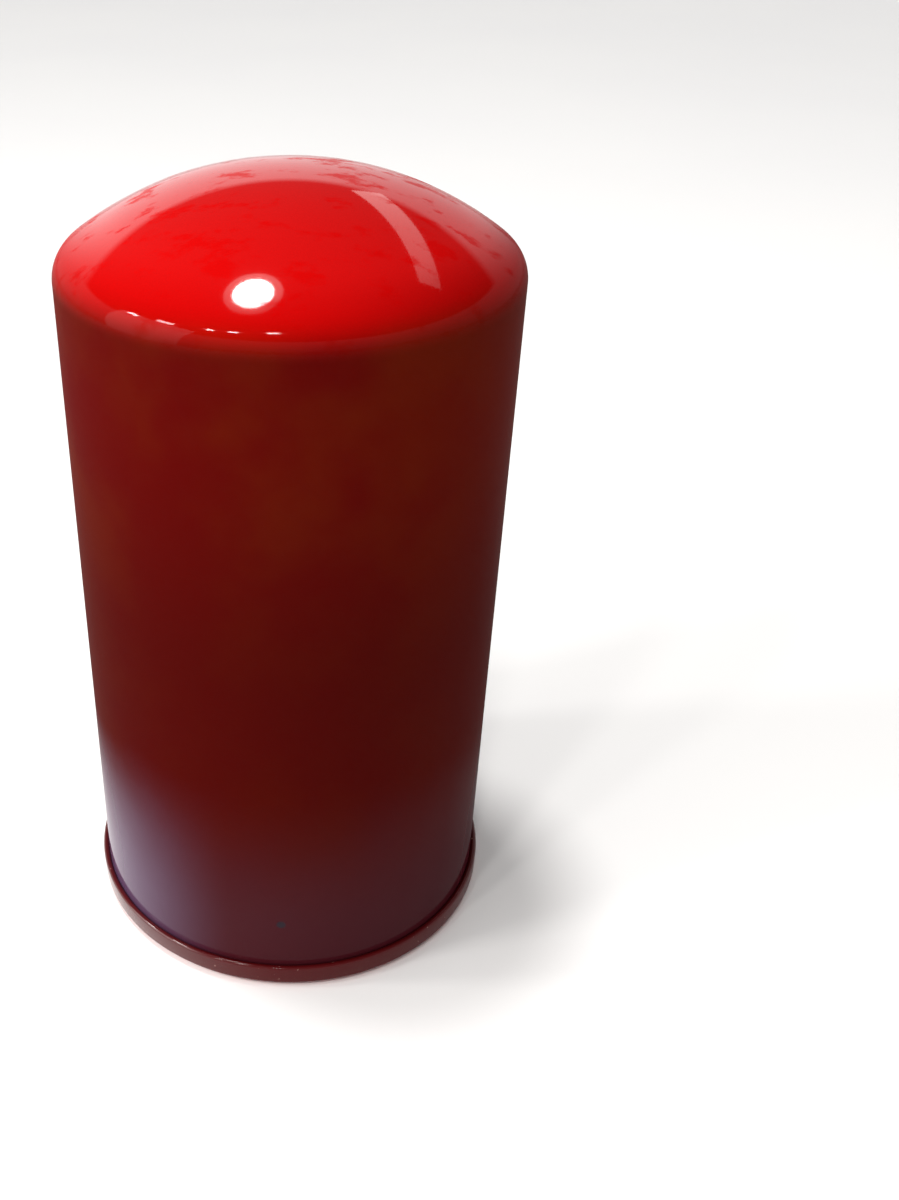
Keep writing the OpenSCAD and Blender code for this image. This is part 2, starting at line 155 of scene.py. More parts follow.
def rounded(corners, step=12):
    points = []
    for i, (x, z, bend) in enumerate(corners):
        here = Vector((x, z))
        if not bend:
            points.append(here)
            continue
        back = (Vector(corners[i - 1][:2]) - here).normalized()
        ahead = (Vector(corners[i + 1][:2]) - here).normalized()
        half = back.angle(ahead) / 2
        centre = here + (back + ahead).normalized() * (bend / math.sin(half))
        first = here + back * (bend / math.tan(half)) - centre
        last = here + ahead * (bend / math.tan(half)) - centre
        turn = first.angle_signed(last)
        count = max(3, round(abs(math.degrees(turn)) / step))
        for k in range(count + 1):
            a = -turn * k / count
            points.append(centre + Vector((first.x * math.cos(a) - first.y * math.sin(a),
                                           first.x * math.sin(a) + first.y * math.cos(a))))
    return points


def beside(path, gap):
    moved = []
    for i, here in enumerate(path):
        before = (here - path[i - 1]).normalized() if i else None
        after = (path[i + 1] - here).normalized() if i + 1 < len(path) else None
        before, after = before or after, after or before
        left = Vector((-before.y - after.y, before.x + after.x)).normalized()
        moved.append(here + left * (gap / max(0.3, left.dot(Vector((-before.y, before.x))))))
    return moved


def sheetOutline(path, thickness):
    path = [Vector(p) for p in path]
    return beside(path, thickness / 2) + beside(path, -thickness / 2)[::-1]


def spinPiece(name, outline, steps, nudge=None, sharp=40):
    count = len(outline)
    verts, at = [], {}
    for k in range(steps):
        a = 2 * math.pi * k / steps
        for i, (r, z) in enumerate(outline):
            if r < 1e-6 and k:
                at[k, i] = at[0, i]
                continue
            at[k, i] = len(verts)
            verts.append((r * mm * math.cos(a), r * mm * math.sin(a), z * mm))
    faces = []
    for k in range(steps):
        for i in range(count):
            j, n = (i + 1) % count, (k + 1) % steps
            ring = list(dict.fromkeys([at[k, i], at[n, i], at[n, j], at[k, j]]))
            if len(ring) > 2:
                faces.append(ring)
    mesh = bpy.data.meshes.new(name)
    mesh.from_pydata(verts, [], faces)
    work = bmesh.new()
    work.from_mesh(mesh)
    bmesh.ops.recalc_face_normals(work, faces=work.faces)
    if nudge:
        for v in work.verts:
            v.co += nudge(v.co)
    return finishMesh(name, mesh, work, sharp)


def finishMesh(name, mesh, work, sharp):
    work.to_mesh(mesh)
    work.free()
    mesh.shade_smooth()
    mesh.set_sharp_from_angle(angle=math.radians(sharp))
    piece = bpy.data.objects.new(name, mesh)
    bpy.context.scene.collection.objects.link(piece)
    return piece


def fit(piece, look, body, node):
    piece.data.materials.clear()
    piece.data.materials.append(look.material)
    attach(piece, body)
    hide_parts(node)
    print("made", piece.name, "for", node)


# camera

viewpoint = {"place": (0.0, -0.248, 0.2346), "tilt": 57.3, "lens": 38.4, "sideways": 0.133}

lens = bpy.data.cameras.new("filterCamera")
lens.lens, lens.sensor_width, lens.shift_x = viewpoint["lens"], 36, viewpoint["sideways"]
lens.clip_start = 0.01
camera = bpy.data.objects.new("filterCamera", lens)
camera.location = viewpoint["place"]
camera.rotation_euler = (math.radians(viewpoint["tilt"]), 0, 0)
bpy.context.scene.collection.objects.link(camera)
bpy.context.scene.camera = camera
bpy.context.scene.view_settings.view_transform = "Standard"
print("camera placed")

# the painted can

can = {"radius": 46.5, "sheet": 0.45, "wallTop": 153.0, "wallFoot": 6.0, "corner": 6.7,
       "foldZ": 1.905, "hookX": 47.235, "hookTop": 5.3, "steps": 256, "ripple": 0.04, "rippleFrom": 12.0,
       "domeRed": (0.43, 0.0006, 0.0006), "domeShade": (0.22, 0.0006, 0.0006),
       "wallShadedRed": (0.071, 0.0007, 0.0003), "wallLitBrown": (0.080, 0.0046, 0.0005),
       "wallDeeperShade": (0.040, 0.0011, 0.0006), "wallLowReflection": (0.040, 0.0062, 0.0105), "leftReflection": (0.10, 0.07, 0.15),
       "domeFade": (151.8, 159.8), "crownFade": (157.5, 164.5), "deepFade": (140.0, 80.0),
       "lowFade": (64.0, 20.0), "rightLitFade": (10.0, 40.0), "leftReflectionFade": (-12.0, -44.0),
       "rightFade": (-5.0, 40.0), "tin": (0.52, 0.51, 0.49), "tinDark": (0.38, 0.37, 0.34),
       "chip": (-2.0, 18.9), "chipFade": (1.55, 1.00), "chipTone": (0.016, 0.014, 0.020)}

# the dome is the arc that meets the corner and reaches the can's full height
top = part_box("can_shell")[1].z / mm
rise, inset = top - can["wallTop"], can["radius"] - can["corner"]
domeRadius = (inset ** 2 + rise ** 2 - can["corner"] ** 2) / (2 * (rise - can["corner"]))
domeCentre = top - domeRadius


def paintRed():
    look = Look("redEnamel", Specular_IOR_Level=0.0, Coat_IOR=1.45, Coat_Roughness=0.05)
    cloud = look.grain(0.028, 3.0, 0.55)
    fine = look.grain(0.004, 2.0, 0.6, shift=3.0)
    dome = look.span(look.z, can["domeFade"])
    crown = look.span(look.z, can["crownFade"])
    right = look.span(look.x, can["rightFade"])
    low = look.span(look.z + 0.012 * cloud, can["lowFade"])
    # painted reflection: a pale bluish patch is painted low on the wall's left side, where the coat is also
    # thicker
    paleTint = low * look.span(look.x, can["leftReflectionFade"])
    # painted light: the wall is painted lighter towards its right side; the cloud adds random brown mottle
    rightLit = 0.6 * look.span(look.x, can["rightLitFade"])
    # painted shade: the upright wall gets darkened copies of the red paint, darker again towards the foot
    wall = look.blend(rightLit + (1 - rightLit) * look.band(cloud, 0.36, 0.70), can["wallShadedRed"], can["wallLitBrown"])
    wall = look.blend(0.7 * look.span(look.z, can["deepFade"]), wall, can["wallDeeperShade"])
    # painted reflection: a bluish tint is painted low on the wall near the foot
    wall = look.blend(low * 0.8, wall, can["wallLowReflection"])
    wall = look.blend(0.5 * paleTint, wall, can["leftReflection"])
    # painted shade: the dome is painted darker on its shoulder below the crown and towards its right side
    shoulder = (0.35 + 0.65 * right) * (1 - 0.8 * crown)
    colour = look.blend(dome, wall, look.blend(shoulder, can["domeRed"], can["domeShade"]))
    chipX, chipZ = (v * mm for v in can["chip"])
    offWall = look.y + can["radius"] * mm
    away = ((look.x - chipX) ** 2 + (look.z - chipZ) ** 2 + offWall ** 2 + fine * 1.2e-6) ** 0.5
    chip = look.span(away, can["chipFade"])
    look.put("Base Color", look.blend(0.85 * chip, colour, can["chipTone"]))
    smudge = look.band(look.grain(0.0075, 5.0, 0.66, stretch=(0.7, 1.3, 1), shift=7.0), 0.54, 0.65)
    gloss = (0.28 + 0.72 * crown) * (1 - 0.65 * smudge) * (1 - 0.5 * right)
    look.put("Coat Weight", dome * gloss + (1 - dome) * (0.045 + 0.12 * low + 0.5 * paleTint))
    look.put("Roughness", 0.3 + 0.1 * cloud + 0.08 * (1 - dome))
    peel = look.grain(0.0026, 1.0, 0.4) + 0.25 * look.grain(0.0007, 1.0, 0.5, shift=5.0)
    look.bump(peel * (0.35 + 0.65 * dome) - 1.5 * chip, 0.00006, 0.45)
    return look


def canOutline():
    wall = can["radius"] - can["sheet"] / 2
    tangent = math.degrees(math.atan2(can["wallTop"] - domeCentre, inset))
    dome = arc(0, domeCentre, domeRadius - can["sheet"] / 2, 90, tangent, 44)
    bend = arc(inset, can["wallTop"], can["corner"] - can["sheet"] / 2, tangent, 0, 16)[1:]
    tall, parts = can["wallTop"] - can["wallFoot"], 30
    side = [(wall, can["wallTop"] - tall * (i + 1) / parts) for i in range(parts)]
    hook = rounded([(wall, can["wallFoot"], 0), (wall, can["foldZ"], can["sheet"]),
                    (can["hookX"], can["foldZ"], can["sheet"]), (can["hookX"], can["hookTop"], 0)], 15)[1:]
    outline = sheetOutline(dome + bend + side + hook, can["sheet"])
    outline[0].x = outline[-1].x = 0
    outline[0].y, outline[-1].y = top, top - can["sheet"]
    return [tuple(p) for p in outline]


def canRipple(co):  # drawn steel is never quite true, a few hundredths inward
    if co.z < can["rippleFrom"] * mm:
        return Vector((0, 0, 0))
    ripple = noise.noise(co * 45) * 0.5 + 0.5
    onDome = co.z > (can["wallTop"] + 2) * mm
    out = Vector((co.x, co.y, co.z - domeCentre * mm if onDome else 0))
    return -out.normalized() * ripple * can["ripple"] * mm


def bareTin():
    look = Look("bareTinplate", Metallic=0.95)
    cloud = look.grain(0.012, 4.0, 0.6)
    drawn = look.grain(0.0012, 3.0, 0.6, stretch=(1, 1, 0.08))
    look.put("Base Color", look.blend(look.band(cloud, 0.33, 0.68), can["tin"], can["tinDark"]))
    look.put("Roughness", 0.30 + 0.15 * cloud + 0.08 * drawn)
    look.bump(drawn, 0.00004, 0.4)
    return look


def markInside(piece, look):  # only the outside is sprayed
    piece.data.materials.append(look.material)
    for face in piece.data.polygons:
        c = face.center
        outward = Vector((c.x, c.y, max(0, c.z - domeCentre * mm)))
        if c.z > (can["wallFoot"] + 2) * mm and face.normal.dot(outward) < 0:
            face.material_index = 1


shell = spinPiece("paintedCan", canOutline(), can["steps"], canRipple)
fit(shell, paintRed(), "filter", "can_shell")
markInside(shell, bareTin())

# the seaming lid

lid = {"sheet": 0.45, "bore": 29.0, "lipZ": 1.425, "channelIn": 32.225, "channelZ": 5.525,
       "channelOut": 39.975, "beadOut": 41.375, "grooveZ": 5.225, "chuck": 45.795, "slant": 1.5,
       "panel": 47.715, "hook": 46.755, "seamTop": 6.2, "hookEnd": 2.93, "steps": 256, "bare": 32.62,
       # the side colour is painted shade on the seam's outer side and top
       "crest": (0.52, 0.016, 0.009), "side": (0.060, 0.0022, 0.0030), "bead": (0.34, 0.06, 0.055),
       "groove": (0.07, 0.010, 0.008), "line": (0.30, 0.11, 0.09), "chips": (0.75, 0.50, 0.42),
       "steel": (0.50, 0.48, 0.455), "steelDark": (0.42, 0.40, 0.38), "rust": (0.10, 0.045, 0.025),
       "crestFade": (43.8, 44.6), "sideFade": (47.5, 47.8), "sideRise": (3.0, 4.5), "leftFade": (0.0, -40.0),
       "beadFade": (41.6, 41.1), "beadRise": (3.6, 2.2), "lineAt": (43.1, 0.3), "chipsAt": (47.0, 1.2),
       "rustAt": (32.0, 1.0), "burr": (0.12, 0.08), "rollerMark": 0.03, "rollerFrom": 44.5, "rollerTop": 5.5}


def lidPath():
    s = lid
    seamTop = s["seamTop"] - s["sheet"] / 2
    return rounded([(s["bore"], s["lipZ"], 0), (s["channelIn"], s["lipZ"], 1.1),
                    (s["channelIn"], s["channelZ"], 0.6), (s["channelOut"], s["channelZ"], 0.6),
                    (s["channelOut"], s["lipZ"], 0.67), (s["beadOut"], s["lipZ"], 0.67),
                    (s["beadOut"], s["grooveZ"], 0.6), (s["chuck"] - s["slant"], s["grooveZ"], 0.6),
                    (s["chuck"], s["grooveZ"] - 2 * s["slant"], 0.6), (s["chuck"], s["lipZ"], 0.6),
                    (s["panel"], s["lipZ"], 0.6), (s["panel"], seamTop, 0.45), (s["hook"], seamTop, 0.45),
                    (s["hook"], s["hookEnd"], 0)], 12)


def lidNudge(co):  # the bore is sheared, not turned, so its edge wanders
    flat = Vector((co.x, co.y, 0))
    if flat.length < (lid["bore"] + 0.1) * mm:
        coarse, fine = lid["burr"]
        burr = coarse * (noise.noise(co * 900) + 0.6) + fine * noise.noise(co * 3000)
        return flat.normalized() * burr * mm
    if flat.length > lid["rollerFrom"] * mm and co.z < lid["rollerTop"] * mm:
        return -flat.normalized() * lid["rollerMark"] * mm * (noise.noise(co * 160) + 0.9)
    return Vector((0, 0, 0))


def lidPaint():
    look = Look("seamEnamelAndBareSteel", Coat_IOR=1.5, Coat_Roughness=0.07, Specular_IOR_Level=0.06)
    cloud = look.grain(0.006, 4.0, 0.6)
    fine = look.grain(0.0012, 3.0, 0.6, shift=2.0)
    bare = look.span(look.radius + 0.0004 * (fine - 0.5), (lid["bare"] + 0.1, lid["bare"] - 0.1))
    crest = look.span(look.radius, lid["crestFade"])
    # painted shade: the seam's outer side and its top are painted dark red for the shade on them
    side = look.add("ShaderNodeMath", {"operation": "MAXIMUM"},
                    {0: look.span(look.radius, lid["sideFade"]), 1: crest * look.span(look.z, lid["sideRise"])})
    # painted highlight: the bead's flat top is painted pale pink for the light on it; its rougher, thinner coat
    # is dull overspray
    bead = look.span(look.radius, lid["beadFade"]) * look.span(look.z, lid["beadRise"])
    line = look.ringAt(*lid["lineAt"]) * look.band(cloud, 0.35, 0.6)
    # painted shade: inside the crest ring the red paint is darkened for the shade in the channel and groove
    paint = look.blend(crest, lid["groove"], lid["crest"])
    paint = look.blend(line * 0.5, paint, lid["line"])
    paint = look.blend(bead * (0.55 + 0.45 * fine), paint, lid["bead"])
    paint = look.blend(side, paint, lid["side"])
    chips = look.band(fine, 0.70, 0.74) * look.ringAt(*lid["chipsAt"]) * 0.7
    paint = look.blend(chips, paint, lid["chips"])
    steel = look.blend(look.band(cloud, 0.35, 0.7), lid["steel"], lid["steelDark"])
    rust = look.band(look.grain(0.0008, 5.0, 0.7, shift=4.0) + 0.075 * look.ringAt(*lid["rustAt"]), 0.62, 0.68)
    steel = look.blend(rust, steel, lid["rust"])
    look.put("Base Color", look.blend(bare, paint, steel))
    look.put("Metallic", bare * (1 - 0.85 * rust))
    look.put("Roughness", 0.36 + 0.14 * fine + 0.25 * rust * bare + 0.18 * bead)
    left = look.span(look.x, lid["leftFade"])
    gloss = (0.25 + 0.7 * crest) * (1 - 0.7 * bead) * (1 - 0.75 * side * (1 - left))
    look.put("Coat Weight", (1 - bare) * gloss)
    look.bump(0.6 * fine + cloud - rust * 0.6, 0.00008, 0.35)
    return look


lidOutline = [tuple(p) for p in sheetOutline(lidPath(), lid["sheet"])]
cover = spinPiece("rolledSeamLid", lidOutline, lid["steps"], lidNudge)
fit(cover, lidPaint(), "filter", "seaming_lid")

# the tapping plate and its thread

plate = {"bore": 12.417, "low": 2.1, "top": 14.8, "pitch": 2.0, "depth": 1.083, "rows": 127, "fade": 0.9,
         "flank": 1.3, "flat": 0.22, "zinc": (0.30, 0.265, 0.225), "pale": (0.46, 0.44, 0.41),
         "blue": (0.27, 0.40, 0.50), "brass": (0.74, 0.56, 0.30), "rust": (0.075, 0.035, 0.02),
         "stain": (0.20, 0.15, 0.11), "threadFade": (13.72, 13.50), "threadRise": (1.6, 2.4),
         "mouthFade": (17.2, 14.8), "stainFade": (16.5, 18.5), "pitsAt": (18.3, 1.6)}


def threadedPlate():
    name = "tappedSteelPlate"
    mesh = nodes["tapping_plate"].data.copy()
    mesh.name = name
    work = bmesh.new()
    work.from_mesh(mesh)
    bmesh.ops.remove_doubles(work, verts=work.verts, dist=1e-6)
    limit = (plate["bore"] + 0.01) * mm
    bore = [f for f in work.faces if all(math.hypot(v.co.x, v.co.y) < limit for v in f.verts)]
    bmesh.ops.delete(work, geom=bore, context="FACES")
    rim = [e for e in work.edges if e.is_boundary]
    bmesh.ops.subdivide_edges(work, edges=rim, cuts=1)
    edge = [v for v in work.verts if v.is_boundary]
    middle = (plate["low"] + plate["top"]) / 2 * mm
    rings = [sorted((v for v in edge if (v.co.z > middle) == high), key=lambda v: math.atan2(v.co.y, v.co.x))
             for high in (False, True)]
    assert len(rings[0]) == len(rings[1]), "the bore's two rims differ"
    rows = [rings[0]]
    for k in range(1, plate["rows"]):
        t = k / plate["rows"]
        z = plate["low"] + (plate["top"] - plate["low"]) * t
        ends = min(1, (z - plate["low"]) / plate["fade"], (plate["top"] - z) / plate["fade"])
        row = []
        for v in rings[0]:
            a = math.atan2(v.co.y, v.co.x)
            turn = (z / plate["pitch"] - a / (2 * math.pi)) % 1
            flank = min(1, max(0, abs(2 * turn - 1) * plate["flank"] - plate["flat"]))  # small flats
            r = (plate["bore"] + plate["depth"] * flank * ends) * mm
            row.append(work.verts.new((r * math.cos(a), r * math.sin(a), z * mm)))
        rows.append(row)
    rows.append(rings[1])
    count = len(rings[0])
    for low, high in zip(rows, rows[1:]):
        for i in range(count):
            j = (i + 1) % count
            work.faces.new((low[i], low[j], high[j], high[i]))
    bmesh.ops.triangulate(work, faces=[f for f in work.faces if len(f.verts) > 4])
    bmesh.ops.recalc_face_normals(work, faces=work.faces)
    return finishMesh(name, mesh, work, 35)


def plateSteel():
    look = Look("wornZincSteel", Specular_IOR_Level=0.5)
    cloud = look.grain(0.009, 4.0, 0.6)
    fine = look.grain(0.0009, 4.0, 0.65, shift=1.0)
    pressed = look.grain(0.0016, 2.0, 0.5, stretch=(1, 0.25, 1), shift=6.0)
    thread = look.span(look.radius, plate["threadFade"]) * look.span(look.z, plate["threadRise"])
    mouth = look.span(look.radius, plate["mouthFade"]) * (1 - thread)
    colour = look.blend(look.band(cloud, 0.33, 0.68), plate["zinc"], plate["pale"])
    colour = look.blend(mouth * 0.5, colour, plate["blue"])
    colour = look.blend(thread, colour, plate["brass"])
    crowd = 0.13 * look.ringAt(*plate["pitsAt"]) * look.band(cloud, 0.3, 0.55)
    pits = look.band(look.grain(0.0007, 5.0, 0.7, shift=4.0) + crowd, 0.64, 0.69) * (1 - thread)
    outside = look.span(look.radius, plate["stainFade"])
    stain = look.band(look.grain(0.0035, 5.0, 0.65, shift=8.0), 0.56, 0.72) * outside
    colour = look.blend(stain * 0.55, colour, plate["stain"])
    look.put("Base Color", look.blend(pits, colour, plate["rust"]))
    look.put("Metallic", 0.95 - 0.9 * pits)
    look.put("Roughness", 0.27 + 0.16 * cloud + 0.12 * fine + 0.3 * pits - 0.12 * thread)
    look.bump(0.5 * fine + pressed - 0.8 * pits, 0.00010, 0.4)
    return look


tapped = threadedPlate()
fit(tapped, plateSteel(), "filter", "tapping_plate")

# the sealing gasket

gasket = {"inside": 32.5, "outside": 39.7, "height": 5.3, "edge": 0.4, "steps": 220, "uneven": 0.04,
          "rubber": (0.013, 0.017, 0.022), "paleTint": (0.020, 0.025, 0.033), "dust": (0.42, 0.41, 0.38),
          "scratch": (0.20, 0.21, 0.22)}


def ringOutline(inside, outside, low, high, edge):
    corners = [(inside, high, 0), (inside, low, edge), (outside, low, edge), (outside, high, edge),
               (inside, high, edge), (inside, low, 0)]
    return [tuple(p) for p in rounded(corners, 18)[1:-1]]


def gasketNudge(co):  # moulded rubber sits a shade uneven in its channel
    flat = Vector((co.x, co.y, 0))
    inner = flat.length < (gasket["inside"] + gasket["outside"]) / 2 * mm
    return flat.normalized() * (1 if inner else -1) * gasket["uneven"] * mm * (noise.noise(co * 120) + 1)


def gasketRubber():
    look = Look("mouldedNitrileRubber", Specular_IOR_Level=0.24)
    cloud = look.grain(0.012, 3.0, 0.55)
    fine = look.grain(0.0006, 3.0, 0.6)
    scratchA = look.band(look.grain(0.0022, 1.0, 0.4, stretch=(0.12, 1.6, 1)), 0.70, 0.73)
    scratchB = look.band(look.grain(0.0020, 1.0, 0.4, stretch=(1.6, 0.14, 1), shift=5.0), 0.71, 0.74)
    dust = look.specks(0.0016, 0.16, 0.14) + look.specks(0.0042, 0.075, 0.35)
    colour = look.blend(look.band(cloud, 0.35, 0.7), gasket["rubber"], gasket["paleTint"])
    colour = look.blend((scratchA + scratchB) * 0.10, colour, gasket["scratch"])
    look.put("Base Color", look.blend(dust * 0.8, colour, gasket["dust"]))
    look.put("Roughness", 0.42 + 0.2 * cloud + 0.1 * fine)
    look.bump(fine + 0.6 * dust - 0.5 * (scratchA + scratchB), 0.00005, 0.35)
    return look


gasketOutline = ringOutline(gasket["inside"], gasket["outside"], 0, gasket["height"], gasket["edge"])
seal = spinPiece("squareCutGasket", gasketOutline, gasket["steps"], gasketNudge)
fit(seal, gasketRubber(), "filter", "sealing_gasket")

# rubber round the neck: the seal and the drain-back flap

rubber = {"neck": 16.3, "sealTop": 9.0, "sealFoot": 6.0, "coneTop": 7.62, "toe": 20.93, "sealOut": 22.6,
          "collar": 20.5, "top": 12.6, "skirt": 1.3, "lip": 32.2, "plateTop": 8.75, "steps": 200,
          "black": (0.016, 0.016, 0.018), "blackPale": (0.028, 0.027, 0.027), "specks": (0.30, 0.27, 0.24),
          "orange": (0.45, 0.135, 0.055), "orangeDark": (0.30, 0.075, 0.03)}


def plainRubber(name, light, dark, rough):
    look = Look(name, Specular_IOR_Level=0.4)
    cloud = look.grain(0.005, 3.0, 0.6)
    fine = look.grain(0.0007, 3.0, 0.6, shift=2.0)
    colour = look.blend(look.band(cloud, 0.35, 0.7), light, dark)
    look.put("Base Color", look.blend(look.specks(0.0024, 0.10, 0.22) * 0.5, colour, rubber["specks"]))
    look.put("Roughness", rough + 0.16 * cloud)
    look.bump(fine, 0.00005, 0.4)
    return look


blackRubber = plainRubber("blackNitrile", rubber["black"], rubber["blackPale"], 0.45)
orangeSilicone = plainRubber("orangeSilicone", rubber["orange"], rubber["orangeDark"], 0.5)


def neckOutline():
    s = rubber
    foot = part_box("neck_seal")[0].z / mm
    inner = [(s["neck"], s["sealTop"]), (s["neck"], s["coneTop"])]
    toe = [(s["toe"] - 0.07, foot + 0.06), (s["toe"], foot), (s["toe"] + 0.12, foot + 0.04)]
    outer = [(s["sealOut"] - 0.15, s["sealFoot"] - 0.14), (s["sealOut"], s["sealFoot"]),
             (s["sealOut"], s["sealTop"] - 0.15), (s["sealOut"] - 0.15, s["sealTop"])]
    return inner + toe + outer


ring = spinPiece("neckSealRing", neckOutline(), rubber["steps"])
fit(ring, blackRubber, "filter", "neck_seal")


def flapOutline():
    s = rubber
    base, collar, neck = s["plateTop"], s["collar"], s["neck"]
    skirtZ = s["top"] - 2 * s["skirt"]
    shoulder = s["lip"] - 4 * s["skirt"]
    path = rounded([(collar - 0.5, skirtZ, 0), (shoulder, skirtZ, 2 * s["skirt"]),
                    (s["lip"] - 0.1, base + 0.75, 0)], 8)
    under = [(p.x, max(p.y, base)) for p in beside(path, -s["skirt"] / 2) if p.x > collar]
    upper = [tuple(p) for p in beside(path, s["skirt"] / 2)[::-1] if p.y > base + 0.8 and p.x > collar]
    lip = [(s["lip"] + 0.15, base), (s["lip"] + 0.5, base + 0.1), (s["lip"] + 0.6, base + 0.35),
           (s["lip"] + 0.5, base + 0.8)]
    inner = [(neck, s["sealTop"] + 0.02), (collar - 0.2, s["sealTop"] + 0.02), (collar, s["sealTop"] + 0.2)]
    crown = [(collar, s["top"] - 0.2), (collar - 0.2, s["top"]), (neck, s["top"])]
    return inner + under + lip + upper + crown


flap = spinPiece("drainbackFlap", flapOutline(), rubber["steps"])
fit(flap, orangeSilicone, "filter", "drainback_valve")
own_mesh(flap)

# springs, swept along their own coils, with one closed turn at each end

springs = {"bypassCoil": {"node": "bypass_spring", "wire": 1.4, "turns": 6},
           "domeCoil": {"node": "element_spring", "wire": 2.4, "turns": 3}}
coilLook = {"steps": 72, "sides": 16, "dark": (0.20, 0.20, 0.21), "pale": (0.36, 0.35, 0.33), "rough": 0.3}


def coilTree():
    tree = bpy.data.node_groups.new("coilSpring", "GeometryNodeTree")
    names = [(n, "NodeSocketFloat") for n in ("Coil Radius", "Wire Radius", "Low", "High", "Turns")]
    names.append(("Wire Finish", "NodeSocketMaterial"))
    tree.interface.new_socket("Geometry", in_out="INPUT", socket_type="NodeSocketGeometry")
    keys = {n: tree.interface.new_socket(n, in_out="INPUT", socket_type=k).identifier for n, k in names}
    tree.interface.new_socket("Geometry", in_out="OUTPUT", socket_type="NodeSocketGeometry")

    def put(kind, settings=None, values=None, output=0):
        node = tree.nodes.new(kind)
        for key, value in (settings or {}).items():
            setattr(node, key, value)
        for key, value in (values or {}).items():
            if isinstance(value, bpy.types.NodeSocket):
                tree.links.new(value, node.inputs[key])
            else:
                node.inputs[key].default_value = value
        return node.outputs[output]

    def calc(operation, first, second=0.0):
        return put("ShaderNodeMath", {"operation": operation}, {0: first, 1: second})

    given = tree.nodes.new("NodeGroupInput").outputs
    total = calc("ADD", given["Turns"], 2.0)
    count = calc("ADD", calc("MULTIPLY", total, float(coilLook["steps"])), 1.0)
    line = put("GeometryNodeMeshLine", None, {"Count": count})
    turn = calc("DIVIDE", put("GeometryNodeInputIndex"), float(coilLook["steps"]))
    pitch = calc("ADD", calc("MULTIPLY", given["Wire Radius"], 2.0), 0.00003)  # closed turns all but touch
    low = calc("ADD", given["Low"], given["Wire Radius"])
    high = calc("SUBTRACT", given["High"], given["Wire Radius"])
    first = calc("ADD", low, calc("MULTIPLY", pitch, turn))
    last = calc("SUBTRACT", high, calc("MULTIPLY", pitch, calc("SUBTRACT", total, turn)))
    clear = calc("SUBTRACT", calc("SUBTRACT", high, low), calc("MULTIPLY", pitch, 2.0))
    climb = calc("DIVIDE", calc("MULTIPLY", clear, calc("SUBTRACT", turn, 1.0)), given["Turns"])
    middle = calc("ADD", calc("ADD", low, pitch), climb)
    isFirst = calc("LESS_THAN", turn, 1.0)
    isLast = calc("GREATER_THAN", turn, calc("SUBTRACT", total, 1.0))
    isMiddle = calc("SUBTRACT", 1.0, calc("ADD", isFirst, isLast))
    ends = calc("ADD", calc("MULTIPLY", first, isFirst), calc("MULTIPLY", last, isLast))
    height = calc("ADD", ends, calc("MULTIPLY", middle, isMiddle))
    angle = calc("MULTIPLY", turn, 2 * math.pi)
    x = calc("MULTIPLY", calc("COSINE", angle), given["Coil Radius"])
    y = calc("MULTIPLY", calc("SINE", angle), given["Coil Radius"])
    place = put("ShaderNodeCombineXYZ", None, {0: x, 1: y, 2: height})
    line = put("GeometryNodeSetPosition", None, {"Geometry": line, "Position": place})
    path = put("GeometryNodeMeshToCurve", None, {"Mesh": line})
    wire = put("GeometryNodeCurvePrimitiveCircle", None,
               {"Resolution": coilLook["sides"], "Radius": given["Wire Radius"]})
    tube = put("GeometryNodeCurveToMesh", None, {"Curve": path, "Profile Curve": wire, "Fill Caps": True})
    tube = put("GeometryNodeRealizeInstances", None, {"Geometry": tube})
    tube = put("GeometryNodeSetMaterial", None, {"Geometry": tube, "Material": given["Wire Finish"]})
    out = tree.nodes.new("NodeGroupOutput")
    tree.links.new(tube, out.inputs[0])
    return tree, keys


def wireSteel():
    look = Look("phosphatedSpringWire", Specular_IOR_Level=0.5)
    cloud = look.grain(0.004, 4.0, 0.6)
    fine = look.grain(0.0005, 3.0, 0.6, shift=2.0)
    look.put("Base Color", look.blend(look.band(cloud, 0.35, 0.7), coilLook["dark"], coilLook["pale"]))
    look.put("Metallic", 0.85 + 0.1 * fine)
    look.put("Roughness", coilLook["rough"] + 0.2 * cloud)
    look.bump(fine, 0.00004, 0.4)
    return look


springTree, springKeys = coilTree()
springWire = wireSteel()
for name, spring in springs.items():
    low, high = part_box(spring["node"])
    wire = spring["wire"] / 2 * mm
    seed = bpy.data.objects.new(name, bpy.data.meshes.new(name))
    bpy.context.scene.collection.objects.link(seed)
    sweep = seed.modifiers.new("coil", "NODES")
    sweep.node_group = springTree
    values = {"Coil Radius": high.x - wire, "Wire Radius": wire, "Low": low.z, "High": high.z,
              "Turns": float(spring["turns"]), "Wire Finish": springWire.material}
    for key, value in values.items():
        sweep[springKeys[key]] = value
    bpy.context.view_layer.update()
    mesh = bpy.data.meshes.new_from_object(seed.evaluated_get(bpy.context.evaluated_depsgraph_get()))
    bpy.data.objects.remove(seed)
    work = bmesh.new()
    work.from_mesh(mesh)
    bmesh.ops.remove_doubles(work, verts=work.verts, dist=1e-7)
    bmesh.ops.recalc_face_normals(work, faces=work.faces)
    coil = finishMesh(name, mesh, work, 50)
    fit(coil, springWire, "filter", spring["node"])
    if name == "bypassCoil":
        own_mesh(coil)

# finishes for the pieces that keep their own meshes

